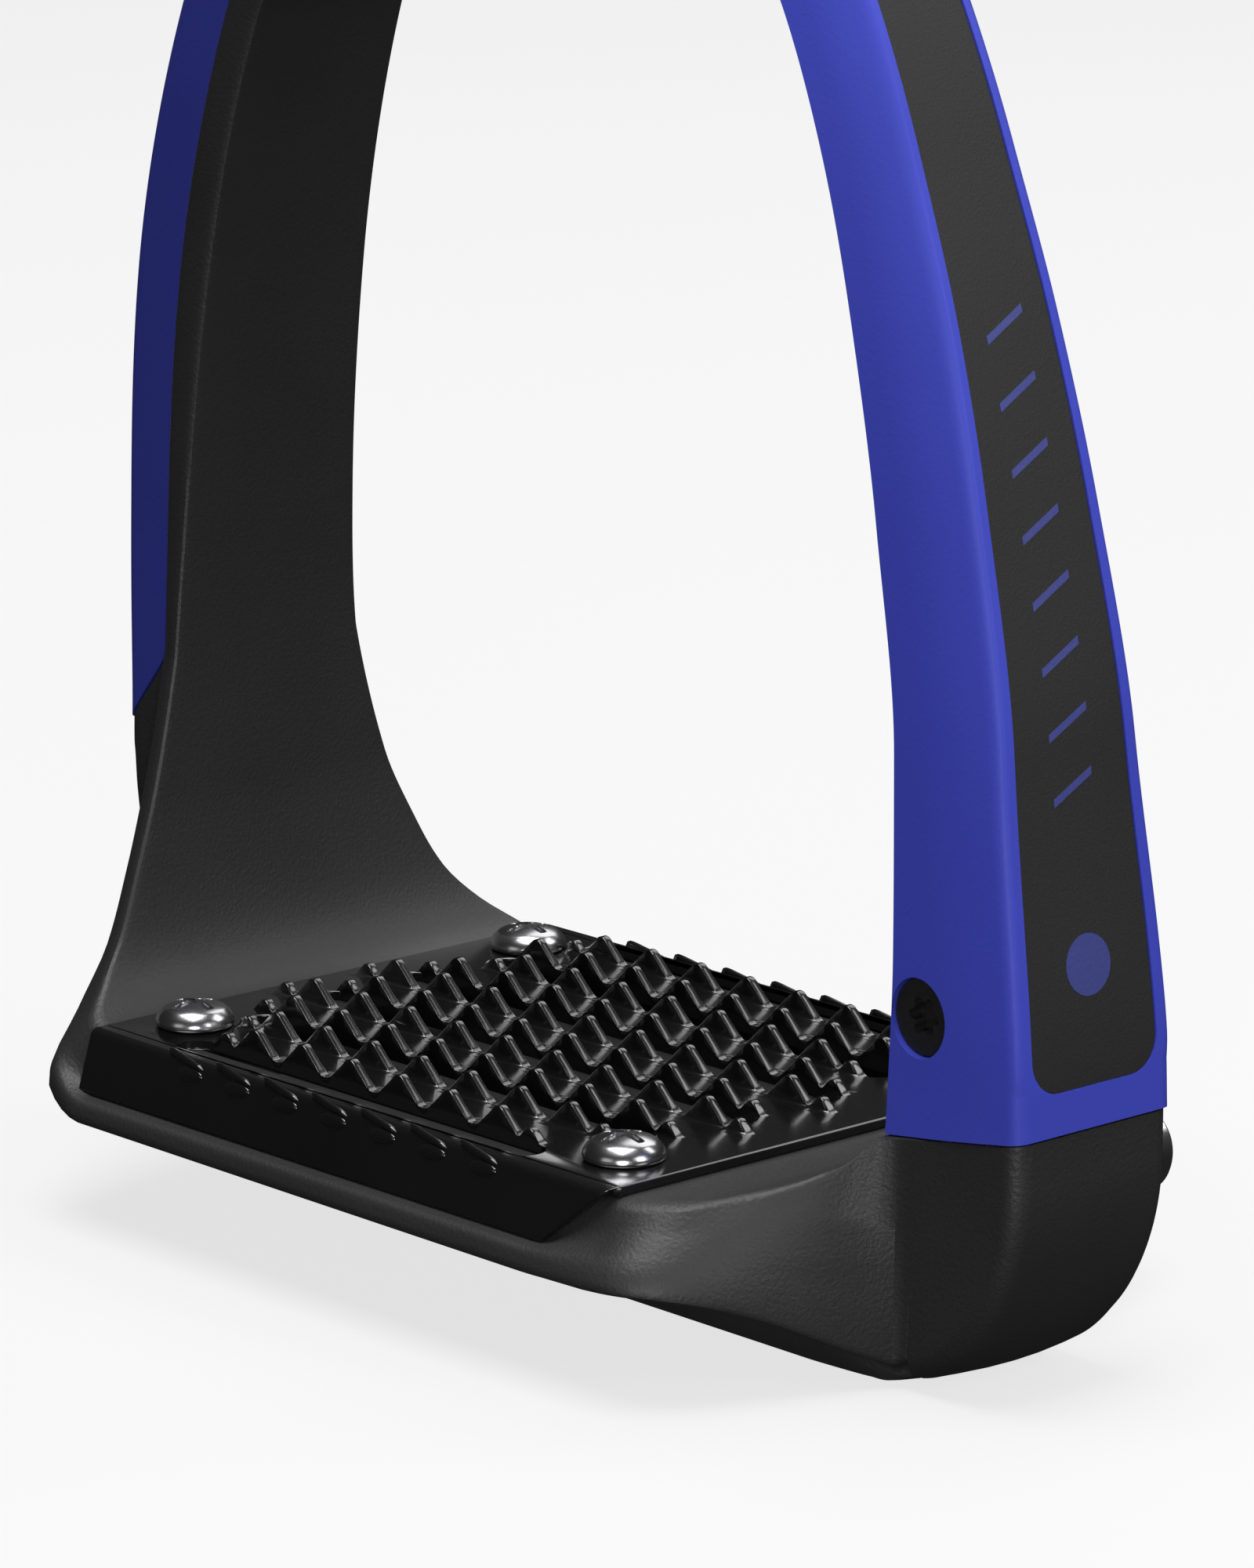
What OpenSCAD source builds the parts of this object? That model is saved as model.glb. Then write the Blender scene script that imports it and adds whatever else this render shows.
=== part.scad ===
// Safety stirrup iron: a black frame with one fixed arm, a toothed tread plate and a
// sprung outer arm that tips outwards about the lower edge of its seat.
// Units are millimetres. +X points to the release arm, +Y to the back, +Z up.
// The stirrup stands on its keel at z = 0, midway between the arms.

/* [Foot opening] */
// Clear width between the arms at its widest
clear_width = 119; // [117:0.5:122]
// Height of the head's underside above the ground
head_z = 168.5; // [167:0.5:170]

/* [Frame] */
// Height of the tray floor that carries the tread plate
floor_z = 21.6; // [20.6:0.2:22.6]
// Width of the band that runs down the arm and under the tread
band_w = 24; // [23:0.5:25]
// Width of the rounding at the lower outer corner of the knuckle
knuckle_r = 22.5; // [19:0.5:23]
// Thickness of the head, front to back
head_w = 19; // [18:0.5:20]

/* [Leather slot] */
// Length of the slot for the stirrup leather
slot_l = 31; // [28:1:33]
// Height of the slot for the stirrup leather
slot_h = 8.5; // [7:0.5:9]

/* [Tread plate] */
// Length of the plate between the arms
plate_l = 90.4; // [90:0.1:90.8]
// Depth of the plate between its front and back folds
plate_d = 72.6; // [72:0.2:73]
// Sheet thickness
sheet = 1.2; // [1:0.1:1.4]
// Distance between teeth along a row
tooth_pitch = 8.6; // [8.4:0.1:8.6]
// Distance between slots, front to back
row_pitch = 12.9; // [12.6:0.1:13]
// Height of the teeth above the plate
tooth_h = 3; // [2:0.1:3.4]

/* [Release arm] */
// Wall thickness of the coloured shells
shell_t = 2.2; // [1.8:0.1:2.4]
// Slope of the seat between knuckle and arm, in degrees
seat_slope = 8.5; // [8:0.1:9]
// Gap between the release arm and the frame
seam_gap = 0.2; // [0.1:0.05:0.4]

/* [Fasteners] */
// Shank radius of the tread screws
screw_r = 2.5; // [2.4:0.05:2.5]
// Head radius of the tread screws
screw_head_r = 4.7; // [4.3:0.1:4.8]

/* [Hidden] */
$fn = 40;
steps = 5;
half = clear_width / 2;
band = band_w / 2;
play = 0.02;
// tread plate
plate_x = -4.4;
plate_top = floor_z + sheet;
fold_y = plate_d / 2;
skirt_y = fold_y + 2.2;
skirt_z = floor_z - 6;
row_x = -6;
rows = [-2.5, -1.5, -0.5, 0.5, 1.5, 2.5];
lip_y = 3.07;
slot_r = 3.4;
tooth_w = 6.5;
tooth_t = 1.1;
tab_h = 1.2;
skirt_end = 49;
screw_x = [-42.5, 32.8];
screw_y = 26.3;
insert_r = 3.6;
insert_l = 8;
// seat between the knuckle and the release arm
seat_in = half - 0.8;
seat_z = 28.1;
seat_l = 21.5;
hinge_x = seat_in + seat_l * cos(seat_slope);
knuckle_x = hinge_x - 0.1;
// cross screw in the arm, anchor pin in the knuckle, and the link between them
link_top = [half + 4.6, 42.5];
link_low = [half + 14.1, 25.2];
link_w = 8;
link_eye = 3.7;
pin_r = 2.1;
head_recess_r = 4.5;
// seam between the release arm and the head
tip = [28.5, head_z - 4.4];
tip_angle = 60;
pad_r = 4.5;
pad_t = 1.36;
// dowels that set the arm on its seat
dowel_x = 3.6;
dowel_y = 7.1;
dowel_r = 1.4;
dowel_h = 2.4;
// depth from which the frame's slanted sections lean
slant_at = 4;
// cover of the fixed arm, between two of the frame's key stations
cover_from = 4;
cover_to = 8;
cover_t = 2;
cover_air = 0.08;
cover_screws = [5, 7];
// label on the release arm, between two of the arm's key stations
label_from = 0;
label_to = 8;
label_t = 0.7;
label_part = 0.8;
label_z = 36.2;
label_corner = 4;

black = [0.07, 0.07, 0.075];
gloss_black = [0.02, 0.02, 0.02];
blue = [0.2, 0.22, 0.58];
steel = [0.35, 0.35, 0.37];
brass = [0.72, 0.56, 0.28];
elastomer = [0.12, 0.12, 0.13];

// ---------- smooth curves through key stations ----------
// A key is [distance along the path, inner x, inner z, outward angle, section sizes...].

function rise(keys, c, i) = (keys[i + 1][c] - keys[i][c]) / (keys[i + 1][0] - keys[i][0]);

function tangent(keys, c, i) =
    i == 0 ? rise(keys, c, 0) :
    i == len(keys) - 1 ? rise(keys, c, i - 1) :
    let (a = rise(keys, c, i - 1), b = rise(keys, c, i))
    a * b <= 0 ? 0 : 2 * a * b / (a + b);

function blend(keys, c, i, s) =
    let (h = keys[i + 1][0] - keys[i][0], s2 = s * s, s3 = s2 * s)
    (2 * s3 - 3 * s2 + 1) * keys[i][c] + (s3 - 2 * s2 + s) * h * tangent(keys, c, i)
    + (3 * s2 - 2 * s3) * keys[i + 1][c] + (s3 - s2) * h * tangent(keys, c, i + 1);

function station(keys, i, s) = [for (c = [0:len(keys[0]) - 1]) blend(keys, c, i, s)];

// Stations from key a to key b; a short span between two keys is a step and gets no extra ones.
function stations(keys, a, b) = concat(
    [for (i = [a:b - 1])
        let (n = keys[i + 1][0] - keys[i][0] < 2 ? 1 : steps)
        for (k = [0:n - 1]) station(keys, i, k / n)],
    [station(keys, b - 1, 1)]);

// A station's section point [depth, y] in space; slant shifts it along the path.
function place(s, q, slant = 0) = [
    s[1] + q[0] * cos(s[3]) - slant * sin(s[3]),
    q[1],
    s[2] + q[0] * sin(s[3]) + slant * cos(s[3])];

// Closes a half section, given from its inner face outwards, with its mirror image.
function mirrored(h) = concat(h, [for (i = [len(h) - 1:-1:0]) [h[i][0], -h[i][1]]]);

// Skins closed rings of points; ring point i lies opposite point n - 1 - i at both ends.
module loft(rings) {
    n = len(rings[0]);
    m = len(rings);
    sides = [for (j = [0:m - 2]) for (i = [0:n - 1])
        let (a = j * n + i, b = j * n + (i + 1) % n)
        each [[a, b, b + n], [a, b + n, a + n]]];
    first = [for (i = [0:n / 2 - 2]) each [[i, n - 1 - i, n - 2 - i], [i, n - 2 - i, i + 1]]];
    last = [for (f = first) [for (k = [2:-1:0]) f[k] + (m - 1) * n]];
    polyhedron([for (r = rings) each r], concat(sides, first, last));
}

// ---------- frame ----------
// Section sizes after the angle: depth, inner half width, then depth and half width of the side,
// of the lip's top and of its lower edge, depth and half width where the band or keel starts,
// corner radius, slant of the section.

side_w = fold_y - 1.2;
frame_keys = [
    [0, -20, head_z - 2.1, 102, 9, 9, 3, 9.2, 4.4, 9.2, 5.2, 9.2, 5.5, 9, 1.5, 0],
    [8, -27, head_z - 3.6, 112, 12.6, 9.6, 3.2, 9.8, 4.6, 9.8, 5.6, 9.8, 6, 9.6, 1.5, 0],
    [13, -31, head_z - 6, 122, 12.6, 10, 3.2, 10.2, 4.6, 10.2, 5.6, 10.2, 6, 9.8, 1.5, 0],
    [18, -34.6, head_z - 9.2, 131, 12.7, 10.4, 3.2, 10.6, 4.5, 10.6, 5.5, 10.5, 6, 9.9, 1.5, 0],
    [18.6, -35, head_z - 9.7, 132, 10.5, 10.4, 3.2, 10.6, 4.2, 10.6, 5, 10.6, 5.3, 8, 1.5, 0],
    [41, 12.25 - half, 140, 157, 11.7, 11.5, 3.2, 11.8, 4.2, 11.8, 5, 11.7, 5.3, 8.6, 1.5, 0],
    [74, 3.75 - half, 108, 170, 12.4, 12.5, 3.4, 12.6, 4.4, 12.5, 5.2, 12.3, 5.5, 9.1, 1.5, 0],
    [102, 0.35 - half, 80, 176, 11.3, 13.4, 2.8, 13, 3.8, 12.7, 4.6, 12.3, 5, 9.3, 1.5, 0],
    [119.4, -0.6 - half, 62.6, 180, 10.3, 14.5, 2.4, 13.9, 3.2, 13.3, 4, 12.7, 4.4, 9.8, 1.5, 1.2],
    [120, -0.6 - half, 62, 180, 12.4, 14.6, 2.4, 14, 3.2, 13.4, 4, 12.9, 4.8, band, 2, 1.2],
    [136, -0.05 - half, 46, 183, 12.8, 18.7, 2.8, 18, 4, 16.8, 5.2, 15.6, 6.2, band, 2.4, 0],
    [144, 0.95 - half, 38, 190, 12.4, 22.2, 3, 21.2, 4.4, 19.9, 5.8, 18.4, 7.4, band, 2.6, 0],
    [152, 2.45 - half, 30.8, 207, 14, 26, 3.2, 25.4, 5, 24.4, 6.8, 23, 9, band, 3, 0],
    [157, 4.45 - half, 26.4, 226, 18, 30, 3.6, 30.8, 5.6, 31, 7.8, 30.2, 10, 13, 3, 0],
    [162, 7.85 - half, floor_z + 1.4, 248, 21.4, 34, 4.6, 37, 6.2, 38.8, 9.2, 38.8, 11.4, 14, 3, 0],
    [167, 12.2 - half, floor_z, 270, floor_z, side_w, 6.2, 37.1, 6.5, 40.3, 9.2, 41.1, 11.4, 14, 2, 0],
    [245, 31, floor_z, 270, floor_z, side_w, 6.2, 37.1, 6.5, 40.3, 9.3, 41.2, 11.5, 14, 2, 0],
    [255, 41.6, floor_z, 270, floor_z, 34.4, 3.8, 37.4, 6.2, 40.2, 8.9, 41.4, 11.5, 14, 2, 0],
    [262, 48, floor_z + 0.3, 270, floor_z + 0.3, 30.5, 4, 36.4, 6.4, 39.4, 9, 40.6, 11.6, 14, 2, 0],
    [266, 52, floor_z + 1.2, 270, floor_z + 1.2, 24, 5, 30.5, 8, 34.4, 10.6, 35.9, 13.2, 13.8, 2, 0],
    [271, 56.5, floor_z + 3.4, 270, floor_z + 3.4, 16.8, 7.5, 20.6, 12.4, 24, 15.8, 25.3, 18.4, 13.4, 2, 0],
    [273, 58.2, floor_z + 5.4, 270, floor_z + 5.4, 14.2, 10, 15.6, 17, 18.2, 21.6, 19.3, 23.4, 13, 2, 0],
    [275, 60, floor_z + 8.6, 270, floor_z + 8.6, 12.6, 12, 12.9, 22, 13.8, 28, 13.8, 28.6, 12.4, 1.6, 0],
    [278, 63, floor_z + 13, 270, floor_z + 13, band, 16, band, 26, band, 31.6, band, 32.2, 10.8, 1.2, 0],
    [290, knuckle_x - 2, floor_z + 13, 270, floor_z + 13, 11.8, 16, 11.8, 26, 11.8, 31.6, 11.8, 32.2, 10.6,
        1.2, 0],
    [291.4, knuckle_x - 0.5, floor_z + 13, 270, floor_z + 13, 11.3, 16, 11.3, 26, 11.3, 31.6, 11.3, 32.2,
        10.2, 1.2, 0],
    [292, knuckle_x, floor_z + 13, 270, floor_z + 13, 10.4, 16, 10.4, 26, 10.4, 31.6, 10.4, 32.2, 9.4, 1.2, 0]];

function frame_half(s) = [
    [0, s[5] - 1.6], [0.4, s[5] - 0.5], [1.4, s[5]],
    [s[6], s[7]], [s[8], s[9]],
    [s[10] - 0.8, s[11]], [s[10], s[11] - 0.8],
    [s[12], s[13] + 0.4], [s[12] + 0.8, s[13]],
    [s[4] - s[14], s[13]], [s[4] - 0.3 * s[14], s[13] - 0.3 * s[14]], [s[4], s[13] - s[14]]];

function frame_ring(s) =
    [for (q = mirrored(frame_half(s))) place(s, q, s[15] * max(0, q[0] - slant_at))];

module head_block() {
    arch_r = (tip[0] * tip[0] + (head_z - tip[1]) ^ 2) / (2 * (head_z - tip[1]));
    crown_r = 53;
    crown_z = head_z + 21.5;
    rotate([90, 0, 0])
        linear_extrude(head_w, center = true)
            difference() {
                intersection() {
                    translate([0, crown_z - crown_r])
                        circle(crown_r, $fn = 96);
                    translate([-31.5, head_z - 12])
                        square([76, 40]);
                }
                translate([0, head_z - arch_r])
                    circle(arch_r, $fn = 160);
                translate(tip)
                    rotate(tip_angle - 90)
                        translate([0, -20])
                            square(60);
            }
}

module leather_slot() {
    end_r = slot_h / 2;
    translate([0, 0, head_z + 6.2 + end_r]) {
        cube([slot_l - slot_h, head_w + 4, slot_h], center = true);
        for (side = [-1, 1])
            translate([side * (slot_l / 2 - end_r), 0, 0])
                rotate([90, 0, 0])
                    cylinder(head_w + 4, r = end_r, center = true);
    }
}

// Flat bed that the tread plate lies on
module plate_seat() {
    bed_w = 2 * side_w;
    translate([plate_x - plate_l / 2 - 0.1, -bed_w / 2, floor_z - play])
        cube([plate_l + 0.2, bed_w, 6]);
}

// Room for the lower edges of the two skirts
module skirt_bed() {
    gap = 0.1;
    bed_h = 4;
    lean = bed_h * (skirt_y - fold_y) / (plate_top - skirt_z);
    difference() {
        for (side = [0, 1])
            mirror([0, side, 0])
                translate([plate_x - plate_l / 2 - gap, 0, 0])
                    rotate([90, 0, 90])
                        linear_extrude(plate_l)
                            polygon([[skirt_y + gap, skirt_z - gap / 2],
                                [skirt_y - sheet - gap, skirt_z - gap / 2],
                                [skirt_y - sheet - gap - lean, skirt_z + bed_h],
                                [skirt_y + gap - lean, skirt_z + bed_h]]);
        past_skirt_ends(gap);
    }
}

// Everything above the sloping seat, from its inner edge outwards
module above_seat(gap) {
    translate([seat_in, 0, seat_z])
        rotate([0, -seat_slope, 0])
            translate([-1, -25, gap])
                cube([50, 50, 30]);
}

// Rounds the lower outer corner of the knuckle, taller than it is wide
module knuckle_corner() {
    stretch = 1.155;
    rotate([90, 0, 0])
        linear_extrude(40, center = true)
            translate([knuckle_x - knuckle_r, stretch * knuckle_r])
                difference() {
                    translate([0, -stretch * knuckle_r - 1])
                        square([knuckle_r + 1, stretch * knuckle_r + 1]);
                    scale([1, stretch])
                        circle(knuckle_r, $fn = 72);
                }
}

// Room for the tension link, wide enough for it to stretch
module link_room() {
    room_r = link_eye + 0.5;
    web_h = 2 * room_r - 1;
    run = link_low - link_top;
    for (c = [link_top, link_low])
        translate([c[0], 0, c[1]])
            rotate([90, 0, 0])
                cylinder(link_w + 1.4, r = room_r, center = true);
    translate([link_top[0], 0, link_top[1]])
        rotate([0, atan2(-run[1], run[0]), 0])
            translate([0, -link_w / 2 - 0.6, -web_h / 2])
                cube([norm(run), link_w + 1.2, web_h]);
}

module across(at, from, to, r) {
    translate([at[0], to, at[1]])
        rotate([90, 0, 0])
            cylinder(to - from, r = r);
}

module frame_screw_hole(x, y) {
    translate([x, y, floor_z - insert_l])
        cylinder(insert_l + 1, r = insert_r + play);
}

module seat_frame(x, y) {
    translate([seat_in, 0, seat_z])
        rotate([0, -seat_slope, 0])
            translate([x, y, 0])
                children();
}

module frame() {
    pocket = [62, 64, 10];
    color(black)
        difference() {
            union() {
                loft([for (s = stations(frame_keys, 0, len(frame_keys) - 1)) frame_ring(s)]);
                head_block();
            }
            plate_seat();
            skirt_bed();
            above_seat(0);
            knuckle_corner();
            leather_slot();
            translate([row_x, 0, floor_z])
                cube(pocket, center = true);
            for (x = screw_x, side = [-1, 1])
                frame_screw_hole(x, side * screw_y);
            link_room();
            across(link_low, -9.5, band + 1, pin_r + play);
            for (side = [-1, 1])
                seat_frame(dowel_x, side * dowel_y)
                    translate([0, 0, -4])
                        cylinder(8, r = dowel_r + play);
            for (s = cover_screws)
                cover_screw_place(s)
                    translate([0, 0, -8])
                        cylinder(14, r = 1.5);
            translate([tip[0], 0, tip[1]])
                rotate([0, 90 - tip_angle, 0])
                    translate([0, 0, 5.4])
                        rotate([0, 90, 0])
                            cylinder(2.2, r = pad_r + play, center = true);
        }
}

// ---------- tread plate ----------

module plate_profile() {
    side = [[fold_y, plate_top], [skirt_y, skirt_z], [skirt_y - sheet, skirt_z],
        [fold_y - 0.9 * sheet, floor_z]];
    polygon(concat(side, [for (i = [3:-1:0]) [-side[i][0], side[i][1]]]));
}

// Everything past the slanted free ends of the skirts
module past_skirt_ends(gap) {
    for (side = [-1, 1])
        translate([plate_x + plate_l / 2 + gap, side * skirt_y, plate_top - sheet - 0.3])
            rotate([0, skirt_end, 0])
                translate([0, -4, -20])
                    cube([20, 8, 20]);
}

module plate_slot(y, l) {
    translate([row_x, y, floor_z - 1]) {
        translate([-l / 2 + slot_r, -slot_r, 0])
            cube([l - 2 * slot_r, 2 * slot_r, sheet + 2]);
        for (side = [-1, 1])
            translate([side * (l / 2 - slot_r), 0, 0])
                cylinder(sheet + 2, r = slot_r, $fn = 24);
    }
}

// A tooth stands on the edge of a slot, parallel to X
module tooth(h, w) {
    root = sheet;
    flat = 0.42;
    shoulder = 0.8;
    rotate([90, 0, 0])
        linear_extrude(tooth_t, center = true)
            polygon([[-w / 2, 0], [-shoulder, h - 0.35], [-flat, h], [flat, h],
                [shoulder, h - 0.35], [w / 2, 0], [w / 2, -root], [-w / 2, -root]]);
}

// Teeth on one lip of a slot, reaching the same way to both sides, with a low one at each end
// where the screw heads leave room
module tooth_row(y, reach, low_ends = true) {
    low = 0.5;
    translate([row_x, y, plate_top]) {
        for (k = [-reach:reach])
            translate([k * tooth_pitch, 0, 0])
                tooth(tooth_h, tooth_w);
        if (low_ends)
            for (side = [-1, 1])
                translate([side * (reach * tooth_pitch + 0.75 * tooth_w), 0, 0])
                    tooth(tooth_h * low, tooth_w * low);
    }
}

function slot_length(r) = 2 * (abs(r) == 2.5 ? 31.6 : abs(r) == 1.5 ? 35 : 37.9);

module tread_plate() {
    color(gloss_black)
        difference() {
            union() {
                difference() {
                    translate([plate_x - plate_l / 2, 0, 0])
                        rotate([90, 0, 90])
                            linear_extrude(plate_l)
                                plate_profile();
                    for (r = rows)
                        plate_slot(r * row_pitch, slot_length(r));
                }
                for (r = rows) {
                    if (r > rows[0])
                        tooth_row(r * row_pitch - lip_y, abs(r) == 0.5 ? 4 : 3);
                    if (r < rows[5])
                        tooth_row(r * row_pitch + lip_y, r == rows[0] ? 2.5 : 3.5, r != rows[4]);
                }
                // low tabs on both folds
                for (side = [-1, 1], k = [-3:3])
                    translate([row_x + k * tooth_pitch, side * (fold_y - 0.7), plate_top])
                        tooth(tab_h, tooth_w - 1);
            }
            for (x = screw_x, side = [-1, 1])
                translate([x, side * screw_y, floor_z - 1])
                    cylinder(sheet + 2, r = screw_r + 0.3);
            past_skirt_ends(0);
        }
}

module tread_screw(x, y) {
    dome_r = 6.2;
    head_h = 2.9;
    cross_l = 5.4;
    cross_t = 1.2;
    color(steel)
        translate([x, y, plate_top])
            difference() {
                union() {
                    translate([0, 0, -9])
                        cylinder(9.5, r = screw_r);
                    intersection() {
                        cylinder(head_h, r = screw_head_r);
                        translate([0, 0, head_h - dome_r])
                            sphere(dome_r, $fn = 48);
                    }
                }
                for (a = [0, 90])
                    rotate(a)
                        translate([-cross_l / 2, -cross_t / 2, head_h - 1.7])
                            cube([cross_l, cross_t, 3]);
            }
}

module tread_insert(x, y) {
    color(brass)
        translate([x, y, floor_z - insert_l])
            difference() {
                cylinder(insert_l, r = insert_r);
                translate([0, 0, -1])
                    cylinder(insert_l + 2, r = screw_r + play);
            }
}

// ---------- cover of the fixed arm ----------
// The cover follows the frame's own stations and wraps the outer part of the arm.

function cover_half(s, off) =
    let (d = s[12] + cover_air, t = s[4] + cover_air + off, w = s[11] - 0.7,
        b = s[13] + cover_air)
    off > 0
        ? [[d, w], [d + 2, w], [t - 1.4, w - 0.2], [t - 0.4, w - 0.6], [t, w - 1.6]]
        : [[d, b + 0.5], [d + 0.9, b], [t - 1.5, b], [t - 0.45, b - 0.45], [t, b - 1.5]];

function cover_ring(s) =
    let (out = mirrored(cover_half(s, cover_t)), in = mirrored(cover_half(s, 0)), n = len(out))
    [for (q = concat(out, [for (i = [n - 1:-1:0]) in[i]]))
        place(s, q, s[15] * max(0, q[0] - slant_at))];

module cover_screw_place(i) {
    k = frame_keys[i];
    translate(place(k, [k[4] + cover_air + cover_t, 0]))
        rotate([0, 90 - k[3], 0])
            children();
}

module arm_cover() {
    color(blue)
        difference() {
            loft([for (s = stations(frame_keys, cover_from, cover_to)) cover_ring(s)]);
            for (i = cover_screws)
                cover_screw_place(i) {
                    translate([0, 0, -5])
                        cylinder(6, r = 1.6);
                    translate([0, 0, -1.1])
                        cylinder(3, r = 2.9);
                }
        }
}

module cover_screw(i) {
    color(steel)
        cover_screw_place(i)
            difference() {
                union() {
                    translate([0, 0, -7.5])
                        cylinder(7, r = 1.48);
                    translate([0, 0, -1.05])
                        cylinder(1, r = 2.8);
                }
                translate([0, 0, -0.7])
                    for (a = [0, 90])
                        rotate(a)
                            cube([3, 0.7, 1.4], center = true);
            }
}

// ---------- release arm ----------
// Section sizes: depth, inner half width, outer half width.

arm_keys = [
    [0, seat_in, seat_z, seat_slope, seat_l, 11.5, 12],
    [8, half - 0.4, 36, 7, 20.7, 11.4, 12],
    [20, half, 48, 4.5, 19, 11.3, 11.7],
    [43, half + 0.1, 71, 6, 15.7, 11.5, 10.6],
    [68, half - 2.7, 95.6, 11, 13.4, 11.7, 9.5],
    [88, half - 6.3, 115, 15.5, 11.6, 11.7, 8.6],
    [106, half - 10.8, 132.8, 20, 9.6, 11.7, 8],
    [126, half - 18.5, 151.3, 30, 8.8, 11.5, 7.6],
    [138, 34.8, 159.4, 45, 9.6, 10.8, 7.8],
    [147, tip[0] + 0.3 * sin(tip_angle), tip[1] - 0.3 * cos(tip_angle), tip_angle, 10.5, 10, 8]];

function arm_half(s, off) =
    let (t = s[4] - off, wi = s[5] - off, wo = s[6] - off)
    off > 0
        ? [[0, wi], [2, wi - 0.1], [t * 0.5, (wi + wo) / 2 + 0.6], [t - 1.1, wo + 0.1],
            [t - 0.35, wo - 0.3], [t, wo - 1]]
        : [[0, wi - 0.4], [0.4, wi], [t * 0.5, (wi + wo) / 2 + 0.6], [t - 1.2, wo + 0.1],
            [t - 0.35, wo - 0.3], [t, wo - 1.1]];

function shell_ring(s) =
    let (out = mirrored(arm_half(s, 0)), in = mirrored(arm_half(s, shell_t)), n = len(out))
    [for (q = concat(out, [for (i = [n - 1:-1:0]) in[i]])) place(s, q)];

function core_ring(s) = [for (q = mirrored(arm_half(s, shell_t + cover_air))) place(s, q)];

function label_ring(s, grow, lift) =
    let (w = s[6] * label_part + grow, t = s[4], q = mirrored([[t - label_t - grow, w], [t + lift, w]]))
    [for (p = q) place(s, p)];

module label_body(grow, lift) {
    intersection() {
        loft([for (s = stations(arm_keys, label_from, label_to)) label_ring(s, grow, lift)]);
        // rounded lower corners
        label_end(grow);
    }
}

module label_end(grow) {
    w = arm_keys[1][6] * label_part + grow;
    z = label_z - grow;
    rotate([90, 0, 90])
        linear_extrude(120) {
            translate([-20, z + label_corner])
                square([40, 140]);
            translate([-w + label_corner, z])
                square([2 * (w - label_corner), label_corner + 1]);
            for (side = [-1, 1])
                translate([side * (w - label_corner), z + label_corner])
                    circle(label_corner, $fn = 48);
        }
}

module release_shell() {
    color(blue)
        difference() {
            loft([for (s = stations(arm_keys, 0, len(arm_keys) - 1)) shell_ring(s)]);
            seat_gap_cut();
            across(link_top, -20, -8.5, head_recess_r);
            label_body(0.06, 2);
        }
}

// The arm's lower end stops one seam gap above the seat
module seat_gap_cut() {
    translate([seat_in, 0, seat_z])
        rotate([0, -seat_slope, 0])
            translate([-5, -20, seam_gap - 10])
                cube([40, 40, 10]);
}

module release_core() {
    color(black)
        difference() {
            loft([for (s = stations(arm_keys, 0, len(arm_keys) - 1)) core_ring(s)]);
            seat_gap_cut();
            link_room();
            across(link_top, -20, -8.5, head_recess_r);
            across(link_top, -9, 20, pin_r + play);
            for (side = [-1, 1])
                seat_frame(dowel_x, side * dowel_y)
                    translate([0, 0, -1])
                        cylinder(dowel_h + 2, r = dowel_r + 0.4);
        }
}

module label_inlay() {
    bar = [6.6, 1.5];
    bar_slope = 25;
    bar_pitch = 7;
    first_bar_z = 68.5;
    dot_z = 49.3;
    dot_r = 3.2;
    color([0.16, 0.16, 0.17])
        difference() {
            label_body(0, 0);
            // plain slanted bars and a round dot, open to the shell behind
            for (k = [0:7])
                translate([40, 0, first_bar_z + k * bar_pitch])
                    rotate([bar_slope, 0, 0])
                        cube([100, bar[0], bar[1]], center = true);
            translate([40, 0, dot_z])
                rotate([0, 90, 0])
                    cylinder(60, r = dot_r);
        }
}

// ---------- release mechanism ----------

module cross_screw() {
    lobe = 1.7;
    color(gloss_black)
        translate([link_top[0], 0, link_top[1]])
            rotate([90, 0, 0])
                difference() {
                    union() {
                        translate([0, 0, -8.9])
                            cylinder(17.5, r = pin_r);
                        translate([0, 0, 8.5])
                            cylinder(2.3, r = head_recess_r - 0.2);
                    }
                    translate([0, 0, 9])
                        cylinder(4, r = lobe);
                    for (a = [0:60:300])
                        rotate(a)
                            translate([lobe, 0, 9])
                                cylinder(4, r = 0.62, $fn = 16);
                }
}

module anchor_pin() {
    dome_r = 5.9;
    rim_r = 4.9;
    dome_h = 4.1;
    color(steel) {
        across(link_low, -9.3, band + 0.3, pin_r);
        translate([link_low[0], band + 0.05, link_low[1]])
            rotate([-90, 0, 0])
                intersection() {
                    cylinder(dome_h, r = rim_r);
                    translate([0, 0, dome_h - dome_r])
                        sphere(dome_r, $fn = 40);
                }
    }
}

module tension_link() {
    run = link_low - link_top;
    web = [norm(run), link_w - 1, 5];
    color(elastomer)
        difference() {
            union() {
                for (c = [link_top, link_low])
                    across(c, -link_w / 2, link_w / 2, link_eye);
                translate([link_top[0], 0, link_top[1]])
                    rotate([0, atan2(-run[1], run[0]), 0])
                        translate([0, -web[1] / 2, -web[2] / 2])
                            cube(web);
            }
            for (c = [link_top, link_low])
                across(c, -link_w, link_w, pin_r + play);
        }
}

module seat_dowel(side) {
    nose = 0.8;
    color(steel)
        seat_frame(dowel_x, side * dowel_y) {
            translate([0, 0, -4])
                cylinder(4 + dowel_h - nose, r = dowel_r);
            translate([0, 0, dowel_h - nose])
                cylinder(nose, r1 = dowel_r, r2 = dowel_r - 0.6);
        }
}

module head_pad() {
    color(elastomer)
        translate([tip[0], 0, tip[1]])
            rotate([0, 90 - tip_angle, 0])
                translate([-1.08, 0, 5.4])
                    rotate([0, 90, 0])
                        cylinder(pad_t, r = pad_r);
}

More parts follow.
